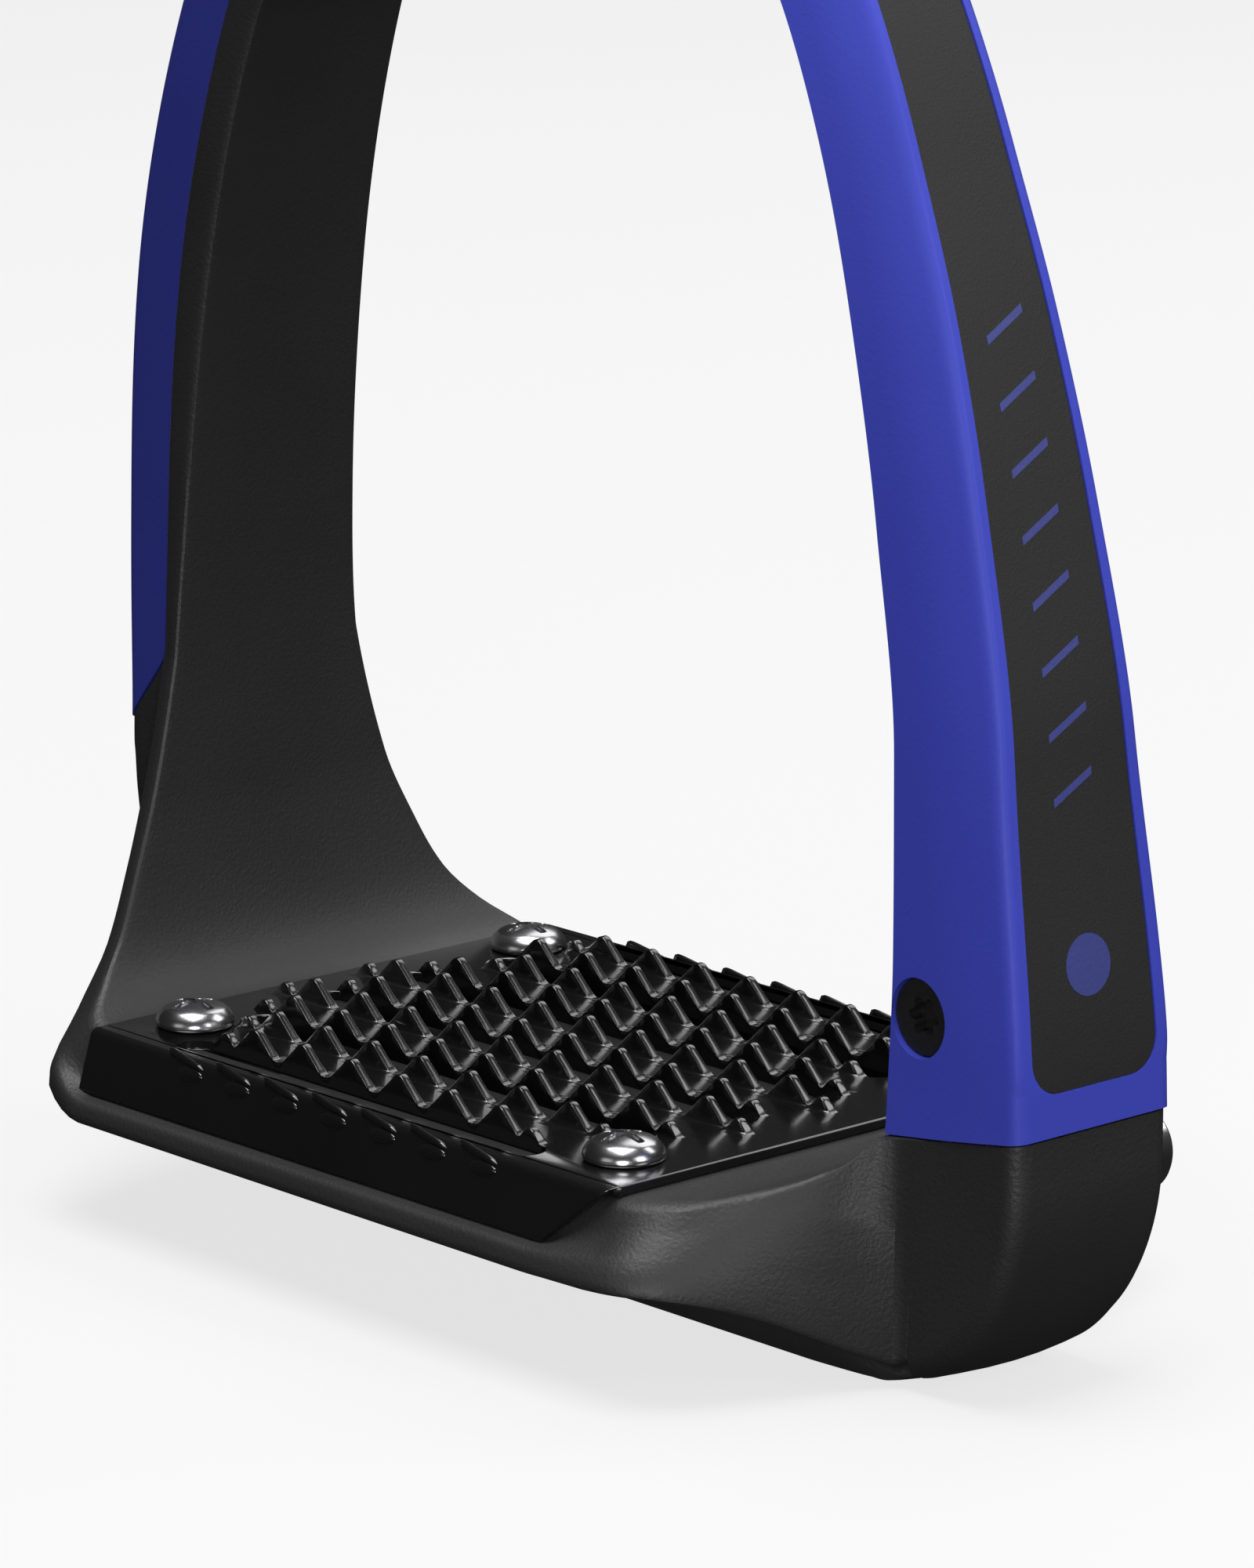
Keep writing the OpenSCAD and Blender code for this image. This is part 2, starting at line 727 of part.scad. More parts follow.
frame();
tread_plate();
tread_screw(screw_x[0], -screw_y);  // tread_screw_fl
tread_screw(screw_x[1], -screw_y);  // tread_screw_fr
tread_screw(screw_x[0], screw_y);  // tread_screw_bl
tread_screw(screw_x[1], screw_y);  // tread_screw_br
tread_insert(screw_x[0], -screw_y);  // tread_insert_fl
tread_insert(screw_x[1], -screw_y);  // tread_insert_fr
tread_insert(screw_x[0], screw_y);  // tread_insert_bl
tread_insert(screw_x[1], screw_y);  // tread_insert_br
arm_cover();
cover_screw(cover_screws[0]);  // cover_screw_upper
cover_screw(cover_screws[1]);  // cover_screw_lower
release_core();
release_shell();
label_inlay();
cross_screw();
anchor_pin();
tension_link();
seat_dowel(-1);  // seat_dowel_front
seat_dowel(1);  // seat_dowel_back
head_pad();
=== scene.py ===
import math
import bmesh
import bpy
from mathutils import Matrix, Vector


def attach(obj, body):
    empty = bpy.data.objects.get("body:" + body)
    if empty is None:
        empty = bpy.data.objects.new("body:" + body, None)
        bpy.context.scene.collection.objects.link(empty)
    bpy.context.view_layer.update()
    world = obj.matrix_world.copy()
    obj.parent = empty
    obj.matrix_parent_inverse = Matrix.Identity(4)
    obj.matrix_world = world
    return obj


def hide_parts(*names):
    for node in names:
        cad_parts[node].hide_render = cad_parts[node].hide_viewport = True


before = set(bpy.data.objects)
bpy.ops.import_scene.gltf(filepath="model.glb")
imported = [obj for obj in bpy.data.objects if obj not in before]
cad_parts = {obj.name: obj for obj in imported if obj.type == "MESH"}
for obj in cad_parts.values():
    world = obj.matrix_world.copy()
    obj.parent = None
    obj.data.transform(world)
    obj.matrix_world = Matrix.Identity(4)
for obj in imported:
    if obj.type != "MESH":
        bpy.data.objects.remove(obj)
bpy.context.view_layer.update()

MM = 0.001

# ---------- sizes in millimetres, the same as the part's ----------
HALF = 59.5
HEAD_Z = 168.5
FLOOR_Z = 21.6
BAND = 12.0
HEAD_W = 19.0
SLOT_L = 31.0
SLOT_H = 8.5
SHEET = 1.2
PLATE_TOP = FLOOR_Z + SHEET
PLATE_LEFT = -49.6
PLATE_RIGHT = 40.8
FOLD_Y = 36.3
SKIRT_Y = FOLD_Y + 2.2
SKIRT_Z = FLOOR_Z - 6
SKIRT_END = 49
ROW_X = -6.0
ROW_PITCH = 12.9
TOOTH_PITCH = 8.6
LIP_Y = 3.07
TOOTH_H = 3.0
SCREW_X = (-42.5, 32.8)
SCREW_Y = 26.3
SEAT_IN = HALF - 0.8
SEAT_Z = 28.1
SEAT_SLOPE = 8.5
SEAT_L = 21.5
SEAM_GAP = 0.2
HINGE_X = SEAT_IN + SEAT_L * math.cos(math.radians(SEAT_SLOPE))
KNUCKLE_X = HINGE_X - 0.1
KNUCKLE_R = 22.5
KNUCKLE_RZ = 1.155 * KNUCKLE_R
KNUCKLE_EDGE = 2.4
KNUCKLE_FROM = 63.0
TIP = (28.5, HEAD_Z - 4.4)
TIP_ANGLE = 60
SLANT_AT = 4.0
CROSS_AT = (HALF + 4.6, 42.5)
RECESS_R = 4.5
SHELL_T = 2.2
LABEL_Z = 36.2
LABEL_CORNER = 4.0
LABEL_PART = 0.8
LABEL_SUNK = 0.14
WELL_LEFT = -37.0
WELL_RIGHT = 25.0
WELL_DEPTH = 5.0
TRAY_START = 15
AIR = 0.08

# Key stations. Each starts with its path distance, inner x, inner z and outward angle.
# The frame's sizes follow: depth, inner half width, depth and half width of the side, of the lip's
# top and of its lower edge, depth and half width of the band or keel, corner radius, slant.
# The arm's sizes are its depth, inner half width and outer half width.
SIDE_W = FOLD_Y - 1.2
FRAME_KEYS = [
    [0, -20, HEAD_Z - 2.1, 102, 9, 9, 3, 9.2, 4.4, 9.2, 5.2, 9.2, 5.5, 9, 1.5, 0],
    [8, -27, HEAD_Z - 3.6, 112, 12.6, 9.6, 3.2, 9.8, 4.6, 9.8, 5.6, 9.8, 6, 9.6, 1.5, 0],
    [13, -31, HEAD_Z - 6, 122, 12.6, 10, 3.2, 10.2, 4.6, 10.2, 5.6, 10.2, 6, 9.8, 1.5, 0],
    [18, -34.6, HEAD_Z - 9.2, 131, 12.7, 10.4, 3.2, 10.6, 4.5, 10.6, 5.5, 10.5, 6, 9.9, 1.5, 0],
    [18.6, -35, HEAD_Z - 9.7, 132, 10.5, 10.4, 3.2, 10.6, 4.2, 10.6, 5, 10.6, 5.3, 8, 1.5, 0],
    [41, 12.25 - HALF, 140, 157, 11.7, 11.5, 3.2, 11.8, 4.2, 11.8, 5, 11.7, 5.3, 8.6, 1.5, 0],
    [74, 3.75 - HALF, 108, 170, 12.4, 12.5, 3.4, 12.6, 4.4, 12.5, 5.2, 12.3, 5.5, 9.1, 1.5, 0],
    [102, 0.35 - HALF, 80, 176, 11.3, 13.4, 2.8, 13, 3.8, 12.7, 4.6, 12.3, 5, 9.3, 1.5, 0],
    [119.4, -0.6 - HALF, 62.6, 180, 10.3, 14.5, 2.4, 13.9, 3.2, 13.3, 4, 12.7, 4.4, 9.8, 1.5, 1.2],
    [120, -0.6 - HALF, 62, 180, 12.4, 14.6, 2.4, 14, 3.2, 13.4, 4, 12.9, 4.8, BAND, 2, 1.2],
    [136, -0.05 - HALF, 46, 183, 12.8, 18.7, 2.8, 18, 4, 16.8, 5.2, 15.6, 6.2, BAND, 2.4, 0],
    [144, 0.95 - HALF, 38, 190, 12.4, 22.2, 3, 21.2, 4.4, 19.9, 5.8, 18.4, 7.4, BAND, 2.6, 0],
    [152, 2.45 - HALF, 30.8, 207, 14, 26, 3.2, 25.4, 5, 24.4, 6.8, 23, 9, BAND, 3, 0],
    [157, 4.45 - HALF, 26.4, 226, 18, 30, 3.6, 30.8, 5.6, 31, 7.8, 30.2, 10, 13, 3, 0],
    [162, 7.85 - HALF, FLOOR_Z + 1.4, 248, 21.4, 34, 4.6, 37, 6.2, 38.8, 9.2, 38.8, 11.4, 14, 3, 0],
    [167, 12.2 - HALF, FLOOR_Z, 270, FLOOR_Z, SIDE_W, 6.2, 37.1, 6.5, 40.3, 9.2, 41.1, 11.4, 14, 2, 0],
    [245, 31, FLOOR_Z, 270, FLOOR_Z, SIDE_W, 6.2, 37.1, 6.5, 40.3, 9.3, 41.2, 11.5, 14, 2, 0],
    [255, 41.6, FLOOR_Z, 270, FLOOR_Z, 34.4, 3.8, 37.4, 6.2, 40.2, 8.9, 41.4, 11.5, 14, 2, 0],
    [262, 48, FLOOR_Z + 0.3, 270, FLOOR_Z + 0.3, 30.5, 4, 36.4, 6.4, 39.4, 9, 40.6, 11.6, 14, 2, 0],
    [266, 52, FLOOR_Z + 1.2, 270, FLOOR_Z + 1.2, 24, 5, 30.5, 8, 34.4, 10.6, 35.9, 13.2, 13.8, 2, 0],
    [271, 56.5, FLOOR_Z + 3.4, 270, FLOOR_Z + 3.4, 16.8, 7.5, 20.6, 12.4, 24, 15.8, 25.3, 18.4, 13.4, 2, 0],
    [273, 58.2, FLOOR_Z + 5.4, 270, FLOOR_Z + 5.4, 14.2, 10, 15.6, 17, 18.2, 21.6, 19.3, 23.4, 13, 2, 0],
    [275, 60, FLOOR_Z + 8.6, 270, FLOOR_Z + 8.6, 12.6, 12, 12.9, 22, 13.8, 28, 13.8, 28.6, 12.4, 1.6, 0],
    [278, 63, FLOOR_Z + 13, 270, FLOOR_Z + 13, BAND, 16, BAND, 26, BAND, 31.6, BAND, 32.2, 10.8, 1.2, 0],
    [292, KNUCKLE_X, FLOOR_Z + 13, 270, FLOOR_Z + 13, 11.9, 16, 11.9, 26, 11.9, 31.6, 11.9, 32.2, 10.7,
        1.2, 0]]

ARM_KEYS = [
    [0, SEAT_IN, SEAT_Z, SEAT_SLOPE, SEAT_L, 11.5, 12],
    [8, HALF - 0.4, 36, 7, 20.7, 11.4, 12],
    [20, HALF, 48, 4.5, 19, 11.3, 11.7],
    [43, HALF + 0.1, 71, 6, 15.7, 11.5, 10.6],
    [68, HALF - 2.7, 95.6, 11, 13.4, 11.7, 9.5],
    [88, HALF - 6.3, 115, 15.5, 11.6, 11.7, 8.6],
    [106, HALF - 10.8, 132.8, 20, 9.6, 11.7, 8],
    [126, HALF - 18.5, 151.3, 30, 8.8, 11.5, 7.6],
    [138, 34.8, 159.4, 45, 9.6, 10.8, 7.8],
    [147, TIP[0] + 0.26, TIP[1] - 0.15, TIP_ANGLE, 10.5, 10, 8]]


# ---------- smooth curves through the key stations ----------

def rise(keys, c, i):
    return (keys[i + 1][c] - keys[i][c]) / (keys[i + 1][0] - keys[i][0])


def tangent(keys, c, i):
    if i == 0:
        return rise(keys, c, 0)
    if i == len(keys) - 1:
        return rise(keys, c, i - 1)
    a, b = rise(keys, c, i - 1), rise(keys, c, i)
    return 0 if a * b <= 0 else 2 * a * b / (a + b)


def station(keys, u):
    i = max(k for k in range(len(keys) - 1) if keys[k][0] <= max(u, keys[0][0]))
    h = keys[i + 1][0] - keys[i][0]
    s = min(max((u - keys[i][0]) / h, 0), 1)
    s2, s3 = s * s, s ** 3
    return [(2 * s3 - 3 * s2 + 1) * keys[i][c] + (s3 - 2 * s2 + s) * h * tangent(keys, c, i)
            + (3 * s2 - 2 * s3) * keys[i + 1][c] + (s3 - s2) * h * tangent(keys, c, i + 1)
            for c in range(len(keys[0]))]


def path(keys, a, b, step):
    """Distances from a to b, through every key between them."""
    marks = [a] + [k[0] for k in keys if a < k[0] < b] + [b]
    out = []
    for p, q in zip(marks, marks[1:]):
        n = max(1, round((q - p) / step))
        out += [p + (q - p) * i / n for i in range(n)]
    return out + [b]


def place(s, q, slant=0.0):
    f = math.radians(s[3])
    return (s[1] + q[0] * math.cos(f) - slant * math.sin(f), q[1],
            s[2] + q[0] * math.sin(f) + slant * math.cos(f))


def rounded(points, radii, n=4):
    """A half section with its corners rounded; every station gets the same number of points."""
    out = [points[0]]
    for i in range(1, len(points) - 1):
        p, r = points[i], radii[i]
        if r <= 0:
            out.append(p)
            continue
        ends = []
        for o in (points[i - 1], points[i + 1]):
            d = math.dist(p, o)
            k = min(r, 0.48 * d) / d if d > 1e-9 else 0
            ends.append((p[0] + (o[0] - p[0]) * k, p[1] + (o[1] - p[1]) * k))
        for j in range(n + 1):
            t = j / n
            out.append(tuple((1 - t) ** 2 * ends[0][c] + 2 * t * (1 - t) * p[c] + t * t * ends[1][c]
                             for c in (0, 1)))
    return out + [points[-1]]


def mirrored(half):
    """The half section and its mirror image, with one point where it meets the middle."""
    tail = [(d, -w) for d, w in reversed(half)]
    return list(half) + (tail[1:-1] if half[0][1] == 0 and half[-1][1] == 0 else tail)


# ---------- meshes ----------

def bmesh_of(rings, caps=True):
    """Quads between closed rings of points in millimetres, with flat ends."""
    bm = bmesh.new()
    rows = [[bm.verts.new([c * MM for c in p]) for p in ring] for ring in rings]
    n = len(rows[0])
    for a, b in zip(rows, rows[1:]):
        for i in range(n):
            bm.faces.new((a[i], a[(i + 1) % n], b[(i + 1) % n], b[i]))
    if caps:
        for row in (rows[0], rows[-1]):
            bm.faces.new(row)
    bmesh.ops.recalc_face_normals(bm, faces=bm.faces)
    return bm


def u_caps(bm, rings):
    """Ends of a U section, whose second half of points runs back along the first."""
    n = len(rings[0])
    bm.verts.ensure_lookup_table()
    for base in (0, (len(rings) - 1) * n):
        for i in range(n // 2 - 1):
            bm.faces.new([bm.verts[base + k] for k in (i, i + 1, n - 2 - i, n - 1 - i)])
    bmesh.ops.recalc_face_normals(bm, faces=bm.faces)


def mark_sharp(bm, limit=32):
    for e in bm.edges:
        if len(e.link_faces) == 2:
            e.smooth = e.calc_face_angle(0) < math.radians(limit)
    for f in bm.faces:
        f.smooth = True


def finish_mesh(bm, name, material, limit=32):
    bmesh.ops.remove_doubles(bm, verts=bm.verts, dist=1e-7)
    mark_sharp(bm, limit)
    mesh = bpy.data.meshes.new(name)
    bm.to_mesh(mesh)
    bm.free()
    obj = bpy.data.objects.new(name, mesh)
    bpy.context.scene.collection.objects.link(obj)
    mesh.materials.append(material)
    even = obj.modifiers.new("even_shading", "WEIGHTED_NORMAL")
    even.keep_sharp = True
    return obj


def add_mesh(bm, mesh, matrix=None):
    """Adds another mesh to a bmesh."""
    if matrix is not None:
        mesh.transform(matrix)
    bm.from_mesh(mesh)


def add_part(bm, part):
    """Adds one bmesh to another and frees it."""
    mesh = bpy.data.meshes.new("part")
    part.to_mesh(mesh)
    part.free()
    bm.from_mesh(mesh)


def outline_mesh(outlines, thickness, edge, name):
    """A flat plate in XY from closed outlines in millimetres, the later ones holes, with round edges."""
    curve = bpy.data.curves.new(name, "CURVE")
    curve.dimensions = "2D"
    curve.fill_mode = "BOTH"
    curve.extrude = (thickness / 2 - edge) * MM
    curve.bevel_depth = edge * MM
    curve.bevel_resolution = 2
    curve.offset = -edge * MM
    for points in outlines:
        spline = curve.splines.new("POLY")
        spline.points.add(len(points) - 1)
        for i, (x, y) in enumerate(points):
            spline.points[i].co = (x * MM, y * MM, 0, 1)
        spline.use_cyclic_u = True
    obj = bpy.data.objects.new(name, curve)
    bpy.context.scene.collection.objects.link(obj)
    mesh = bpy.data.meshes.new_from_object(obj.evaluated_get(bpy.context.evaluated_depsgraph_get()))
    bpy.data.objects.remove(obj)
    return mesh


def cut(obj, cutter):
    """Takes the cutter away from the object and applies it."""
    mod = obj.modifiers.new("cut", "BOOLEAN")
    mod.operation = "DIFFERENCE"
    mod.solver = "EXACT"
    mod.object = cutter
    mesh = bpy.data.meshes.new_from_object(obj.evaluated_get(bpy.context.evaluated_depsgraph_get()))
    obj.modifiers.clear()
    obj.data = mesh
    bpy.data.objects.remove(cutter)


# ---------- materials ----------

def surface(name, colour, rough, metallic=0.0, vary=0.25, grain=900.0, bump=0.0, coat=0.0,
            specular=0.5, rough_vary=0.12, blotch=35.0):
    """A material with fine grain in its bump, a slow drift in its colour and uneven gloss."""
    mat = bpy.data.materials.new(name)
    mat.use_nodes = True
    nodes, links = mat.node_tree.nodes, mat.node_tree.links
    bsdf = nodes["Principled BSDF"]
    coord = nodes.new("ShaderNodeTexCoord")
    slow = nodes.new("ShaderNodeTexNoise")
    slow.inputs["Scale"].default_value = blotch
    slow.inputs["Detail"].default_value = 3
    fine = nodes.new("ShaderNodeTexNoise")
    fine.inputs["Scale"].default_value = grain
    fine.inputs["Detail"].default_value = 2
    links.new(coord.outputs["Object"], slow.inputs["Vector"])
    links.new(coord.outputs["Object"], fine.inputs["Vector"])
    ramp = nodes.new("ShaderNodeValToRGB")
    lo = [c * (1 - vary) for c in colour]
    hi = [min(1, c * (1 + vary)) for c in colour]
    ramp.color_ramp.elements[0].position = 0.3
    ramp.color_ramp.elements[1].position = 0.7
    ramp.color_ramp.elements[0].color = (*lo, 1)
    ramp.color_ramp.elements[1].color = (*hi, 1)
    links.new(slow.outputs["Fac"], ramp.inputs["Fac"])
    links.new(ramp.outputs["Color"], bsdf.inputs["Base Color"])
    gloss = nodes.new("ShaderNodeMapRange")
    gloss.inputs["To Min"].default_value = rough - rough_vary / 2
    gloss.inputs["To Max"].default_value = rough + rough_vary / 2
    links.new(fine.outputs["Fac"], gloss.inputs["Value"])
    links.new(gloss.outputs["Result"], bsdf.inputs["Roughness"])
    if bump > 0:
        bumps = nodes.new("ShaderNodeBump")
        bumps.inputs["Strength"].default_value = bump
        bumps.inputs["Distance"].default_value = 0.0002
        links.new(fine.outputs["Fac"], bumps.inputs["Height"])
        links.new(bumps.outputs["Normal"], bsdf.inputs["Normal"])
    bsdf.inputs["Metallic"].default_value = metallic
    bsdf.inputs["Specular IOR Level"].default_value = specular
    bsdf.inputs["Coat Weight"].default_value = coat
    bsdf.inputs["Coat Roughness"].default_value = 0.12
    return mat


matte_black = surface("matte_black", (0.019, 0.0184, 0.0186), 0.5, vary=0.12, grain=2200, bump=0.35,
                      specular=0.4)
gloss_black = surface("gloss_black", (0.004, 0.004, 0.004), 0.2, vary=0.2, grain=700, bump=0.02, coat=0.6,
                      rough_vary=0.06)
satin_blue = surface("satin_blue", (0.043, 0.056, 0.42), 0.5, vary=0.04, grain=1800, bump=0.12, specular=0.18)
charcoal = surface("charcoal", (0.014, 0.014, 0.014), 0.6, vary=0.08, grain=3200, bump=0.25, specular=0.35)
# A darker copy of satin_blue for the fixed arm's cover: painted shade on the same blue plastic, standing in
# for the shade that arm's front side lies in.
painted_shade_blue = surface("painted_shade_blue", (0.026, 0.034, 0.24), 0.45, vary=0.04, grain=1800, bump=0.12, specular=0.3)
mark_blue = surface("mark_blue", (0.036, 0.045, 0.2), 0.5, vary=0.08, grain=1800, bump=0.2)
dark_chrome = surface("dark_chrome", (0.42, 0.42, 0.43), 0.24, metallic=1, vary=0.05, grain=500,
                      rough_vary=0.05)
black_oxide = surface("black_oxide", (0.03, 0.03, 0.03), 0.42, metallic=0.6, vary=0.3, grain=1500, bump=0.5)
steel = surface("steel", (0.5, 0.5, 0.51), 0.3, metallic=1, vary=0.08, grain=900, bump=0.1)
brass = surface("brass", (0.55, 0.38, 0.13), 0.32, metallic=1, vary=0.12, grain=900, bump=0.1)
rubber = surface("rubber", (0.02, 0.02, 0.022), 0.7, vary=0.2, grain=1300, bump=0.4)

for node, mat in {
        "release_core": matte_black, "anchor_pin": dark_chrome, "tension_link": rubber, "head_pad": rubber,
        "seat_dowel_front": steel, "seat_dowel_back": steel, "cover_screw_upper": black_oxide,
        "cover_screw_lower": black_oxide, "tread_insert_fl": brass, "tread_insert_fr": brass,
        "tread_insert_bl": brass, "tread_insert_br": brass}.items():
    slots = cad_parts[node].data.materials
    slots.clear()
    slots.append(mat)


# ---------- frame ----------

def seat_height(x):
    return SEAT_Z + (x - SEAT_IN) * math.tan(math.radians(SEAT_SLOPE))


def keel_height(x):
    """The knuckle's rounded lower outer corner."""
    a = (x - (KNUCKLE_X - KNUCKLE_R)) / KNUCKLE_R
    return 0 if a <= 0 else KNUCKLE_RZ * (1 - math.sqrt(max(0, 1 - a * a)))


def edge_distance(x, z):
    """Distance in from the knuckle's outer and lower outline."""
    cx, cz = KNUCKLE_X - KNUCKLE_R, KNUCKLE_RZ
    if z > cz:
        return KNUCKLE_X - x
    a, b = (x - cx) / KNUCKLE_R, (z - cz) / KNUCKLE_RZ
    k = math.hypot(a, b)
    return (1 - k) * k / max(1e-6, math.hypot(a / KNUCKLE_R, b / KNUCKLE_RZ)) if a > 0 else z


def knuckle_ring(x, n):
    """A section of the knuckle, with n points on its half and one soft edge all the way round."""
    top, low = seat_height(x), keel_height(x)
    half = [(0, top), (10.2, top), (10.3, top), (11.8, top), (11.9, top), (11.95, top - 0.05),
            (12, top - 0.1), (12, top - 0.2)]
    side = n - len(half) - 3
    for i in range(side):
        k = ((i + 1) / side) ** 0.6
        half.append((12, top - 0.2 - (top - 0.2 - low) * k))
    half += [(7.2, low), (3.6, low), (0, low)]
    out = []
    for y, z in half:
        d = min(max(edge_distance(x, z), 0), KNUCKLE_EDGE)
        y = min(y, 12 - KNUCKLE_EDGE + math.sqrt(KNUCKLE_EDGE ** 2 - (KNUCKLE_EDGE - d) ** 2))
        k = (top - z) / (top - low)
        along = min(max((x - KNUCKLE_FROM) / (KNUCKLE_X - 1 - KNUCKLE_FROM), 0), 1)
        bulge = 1.3 * (1 - (y / 12) ** 2) * math.sin(math.pi * along) * k ** 6
        out.append((y, max(z - bulge, 0)))
    tail = [(-y, z) for y, z in reversed(out)]
    return [(x, y, z) for y, z in out + tail[1:-1]]


def frame_ring(u):
    s = station(FRAME_KEYS, u)
    x, t, wi = s[1], s[4], s[5]
    in_tray = FRAME_KEYS[TRAY_START][0] <= u <= FRAME_KEYS[TRAY_START + 1][0]
    well = WELL_DEPTH if in_tray and WELL_LEFT <= x <= WELL_RIGHT else 0.0
    near_seat = min(max((x - 56) / 2.5, 0), 1) if u > 250 else 0
    half = [(well, 0), (well, 0.86 * wi), (0, 0.861 * wi), (0, wi), (s[6], s[7]), (s[8], s[9]),
            (s[10], s[11]), (s[12], s[13]), (t, s[13]), (t, 0.6 * s[13]), (t, 0.3 * s[13]), (t, 0)]
    side = 3.0 if u > 250 else 1.2
    radii = [0, 0, 0, 1.6 - 1.35 * near_seat, side, side if u > 250 else 0.9, 1.3, 2.2, s[14] + 0.6, 0, 0, 0]
    ring = []
    for d, w in mirrored(rounded(half, radii)):
        p = place(s, (d, w), s[15] * max(0, d - SLANT_AT))
        if u > 255:
            top = min(s[2], seat_height(x))
            low = keel_height(x)
            p = (p[0], p[1], max(0, top - (top - low) * (s[2] - p[2]) / s[2]))
        ring.append(p)
    return ring


def u_at(x):
    lo, hi = 255.0, 292.0
    for _ in range(40):
        mid = (lo + hi) / 2
        lo, hi = (mid, hi) if station(FRAME_KEYS, mid)[1] < x else (lo, mid)
    return lo


def circle_points(cx, cy, r, a0, a1, n):
    return [(cx + r * math.cos(math.radians(a0 + (a1 - a0) * i / n)),
             cy + r * math.sin(math.radians(a0 + (a1 - a0) * i / n))) for i in range(n + 1)]


def head_outline():
    arch_r = (TIP[0] ** 2 + (HEAD_Z - TIP[1]) ** 2) / (2 * (HEAD_Z - TIP[1]))
    crown_r, crown_z, left = 53.0, HEAD_Z + 21.5, -31.5
    arch_z, mid_z = HEAD_Z - arch_r, crown_z - crown_r

    def arc(x, r, cz):
        return (x, cz + math.sqrt(r * r - x * x))
    xs = [left + (TIP[0] - left) * i / 40 for i in range(41)]
    under = [arc(x, arch_r, arch_z) for x in xs]
    # the tip face runs from the arch up to the crown, square to the arm's end
    a = math.radians(TIP_ANGLE)
    d = (math.cos(a), math.sin(a))
    k = 0.0
    while math.hypot(TIP[0] + d[0] * k, TIP[1] + d[1] * k - mid_z) < crown_r:
        k += 0.01
    x1 = TIP[0] + d[0] * k
    over = [arc(x1 + (left - x1) * i / 48, crown_r, mid_z) for i in range(49)]
    return under + over


def frame_mesh():
    us = path(FRAME_KEYS, 0, 255, 1.2)
    start, end = FRAME_KEYS[TRAY_START], FRAME_KEYS[TRAY_START + 1]
    pocket = [start[0] + (x + step - start[1]) * (end[0] - start[0]) / (end[1] - start[1])
              for x in (WELL_LEFT, WELL_RIGHT) for step in (-0.02, 0.02)]
    us = sorted(us + pocket)
    us += path(FRAME_KEYS, 255, u_at(KNUCKLE_FROM), 0.5)[1:]
    rings = [frame_ring(u) for u in us]
    # the flare's side runs on smoothly from station to station
    side = list(range(8, 30)) + [len(rings[0]) - i for i in range(8, 30)]
    flare = [j for j, ring in enumerate(rings[:-4]) if ring[0][0] > 36]
    for _ in range(40):
        for j in flare:
            for i in side:
                a, b, c = rings[j - 1][i], rings[j][i], rings[j + 1][i]
                rings[j][i] = (b[0], *((a[k] + 2 * b[k] + c[k]) / 4 for k in (1, 2)))
    a0 = math.asin((KNUCKLE_FROM + 0.4 - KNUCKLE_X + KNUCKLE_R) / KNUCKLE_R)
    rings += [knuckle_ring(KNUCKLE_X - KNUCKLE_R + KNUCKLE_R * math.sin(a0 + (math.pi / 2 - a0) * i / 40),
                           len(rings[0]) // 2 + 1) for i in range(41)]
    bm = bmesh_of(rings)
    slot_r = SLOT_H / 2
    slot_z = HEAD_Z + 6.2 + slot_r
    slot = (circle_points(SLOT_L / 2 - slot_r, slot_z, slot_r, -90, 90, 16)
            + circle_points(slot_r - SLOT_L / 2, slot_z, slot_r, 90, 270, 16))
    head = outline_mesh([head_outline(), slot], HEAD_W, 1.4, "head_outline")
    add_mesh(bm, head, Matrix.Rotation(math.pi / 2, 4, "X"))
    return finish_mesh(bm, "frame_skin", matte_black, 28)


frame_skin = frame_mesh()
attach(frame_skin, "frame_body")
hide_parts("frame")


# ---------- tread plate ----------

def skirt_section(side):
    out = [(FOLD_Y - 2.2, PLATE_TOP), (FOLD_Y, PLATE_TOP), (SKIRT_Y, SKIRT_Z), (SKIRT_Y - SHEET, SKIRT_Z),
           (FOLD_Y - 0.9 * SHEET, FLOOR_Z), (FOLD_Y - 2.2, FLOOR_Z)]
    pts = rounded(out + [out[0]], [0, 0.9, 0.35, 0.35, 0.4, 0, 0], 4)[:-1]
    return [(side * y, z) for y, z in pts]


def skirt(side):
    section = skirt_section(side)
    slope = math.tan(math.radians(SKIRT_END))
    rings = []
    for i in range(33):
        s = i / 32
        rings.append([(PLATE_LEFT + (PLATE_RIGHT - (PLATE_TOP - z) * slope - PLATE_LEFT) * s, y, z)
                      for y, z in section])
    bm = bmesh_of(rings)
    ends = [e for e in bm.edges if len(e.link_faces) == 2 and e.calc_face_angle(0) > 1.0
            and any(len(f.verts) > 4 for f in e.link_faces)]
    bmesh.ops.bevel(bm, geom=ends, offset=0.25 * MM, segments=2, profile=0.5, affect="EDGES")
    return bm


def soft_step(v, lo, hi):
    t = min(max((v - lo) / (hi - lo), 0), 1)
    return t * t * (3 - 2 * t)


def tooth_height(dx, h, w):
    """Height of one tooth at dx from its tip: a small flat, straight flanks and a soft foot."""
    return min(h, max(h * (1 - (abs(dx) - 0.4) / (w / 2 - 0.4)), 0))


